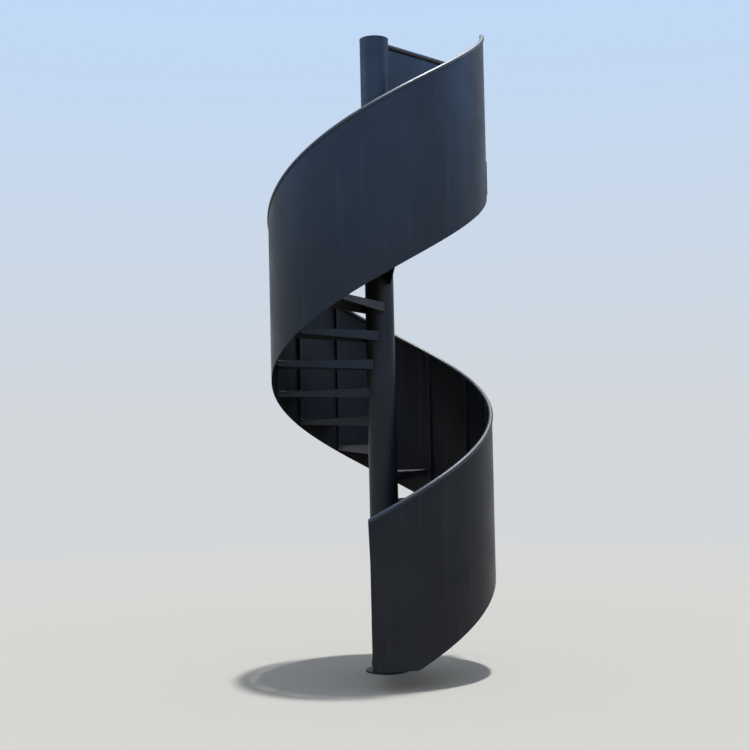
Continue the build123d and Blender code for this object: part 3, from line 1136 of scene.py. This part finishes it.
# %% Hang the backdrop
room_color = (0.86, 0.93, 1.0, 1.0)
room_strength = 0.52
sky_heights = (0.0, 0.45)
world = bpy.data.worlds.new("backdrop")
bpy.context.scene.world = world
world.use_nodes = True
nodes, links = world.node_tree.nodes, world.node_tree.links
direction = nodes.new("ShaderNodeTexCoord").outputs["Generated"]
height = link_new(nodes, links, "ShaderNodeSeparateXYZ", {0: direction}).outputs["Z"]
sky_share = remap(nodes, links, height, sky_heights)
sky = mix_color(nodes, links, sky_share, backdrop_color, sky_color)
room_light = nodes["Background"]
room_light.inputs["Color"].default_value = room_color
room_light.inputs["Strength"].default_value = room_strength
backdrop = link_new(nodes, links, "ShaderNodeBackground", {"Color": sky, "Strength": 1.0})
shown = {0: seen_directly(nodes, links), 1: room_light.outputs[0], 2: backdrop.outputs[0]}
choice = link_new(nodes, links, "ShaderNodeMixShader", shown)
links.new(choice.outputs[0], nodes["World Output"].inputs["Surface"])
print("backdrop:", backdrop_color[:3], "room light:", room_strength)

# %% [markdown]
# ## Light
# In the photograph the light falls steeply, draws a bright line along the rail and touches only the few
# steps that lie open from above. A sun high on the right does that. A second, wider sun from the same
# direction shows only in reflections and gives the rail its soft highlight. Three wide cool panels, in front
# and at both sides, show only in reflections too, and give the upper band a sheen as blue as a clear sky.

# %% A helper for lamps
def lamp(name, kind, energy, color, spot, target, only_mirrored=False):
    """A lamp at a spot, pointing at a target, which may show only in reflections."""
    data = bpy.data.lights.new(name, kind)
    data.energy = energy
    data.color = color
    holder = bpy.data.objects.new(name, data)
    aim = (Vector(target) - Vector(spot)).to_track_quat("-Z", "Y").to_matrix().to_4x4()
    holder.matrix_world = Matrix.Translation(spot) @ aim
    holder.visible_diffuse = not only_mirrored
    bpy.context.scene.collection.objects.link(holder)
    return data


# %% Hang the sun and its glow
sun_spot = (0.82, 0.51, 10)
sun_strength = 2.7
sun_color = (1.0, 0.985, 0.96)
glow_strength = 12.0
glow_color = (0.96, 0.98, 1.0)
high_lamp = lamp("high_lamp", "SUN", sun_strength, sun_color, sun_spot, (0, 0, 0))
high_lamp.angle = math.radians(2.5)
sun_glow = lamp("sun_glow", "SUN", glow_strength, glow_color, sun_spot, (0, 0, 0), only_mirrored=True)
sun_glow.angle = math.radians(20)
print("sun:", high_lamp.energy, "glow:", sun_glow.energy)

# %% Hang the cool panels
panel_radius = 12
panel_height = 8.9
panel_target = (0, 0, 3.8)
panel_color = (0.20, 0.46, 1.0)
panel_azimuths_and_powers = ((-165, 1340), (-90, 1740), (-15, 1100))
for number, (azimuth, power) in enumerate(panel_azimuths_and_powers, start=1):
    bearing = math.radians(azimuth)
    spot = (panel_radius * math.cos(bearing), panel_radius * math.sin(bearing), panel_height)
    name = f"sky_panel_{number}"
    panel = lamp(name, "AREA", power, panel_color, spot, panel_target, only_mirrored=True)
    panel.shape = "RECTANGLE"
    panel.size = 19
    panel.size_y = 4
    print(name, "at azimuth", azimuth, "power", power)

# %% [markdown]
# ## Camera
# The camera stands at eye height, a little nearer than nine metres, and is held a touch askew, as the one
# that took the photograph was. The picture seems to be cut from a larger one, so the lens is shifted a
# little. The angles are in radians. The focal length and the row of the optical axis are in pixels.

# %% Set the camera
eye = Vector((0, -8.706, 1.604))
yaw = -0.0058
pitch = 0.0198
roll = -0.0222
focal_px = 1230.65
photo_px = 750
principal_row = 418.9

forward = Vector((math.sin(yaw) * math.cos(pitch), math.cos(yaw) * math.cos(pitch), math.sin(pitch)))
level_right = Vector((math.cos(yaw), -math.sin(yaw), 0))
level_up = level_right.cross(forward)
right = math.cos(roll) * level_right + math.sin(roll) * level_up
up = -math.sin(roll) * level_right + math.cos(roll) * level_up
camera_data = bpy.data.cameras.new("camera")
camera_data.sensor_width = 36
camera_data.lens = focal_px / photo_px * camera_data.sensor_width
camera_data.shift_y = (principal_row - photo_px / 2) / photo_px
camera = bpy.data.objects.new("camera", camera_data)
camera.matrix_world = Matrix.Translation(eye) @ Matrix((right, up, -forward)).transposed().to_4x4()
bpy.context.scene.collection.objects.link(camera)
bpy.context.scene.camera = camera
bpy.context.scene.view_settings.view_transform = "Standard"
print("lens:", round(camera_data.lens, 2), "shift:", round(camera_data.shift_y, 4))
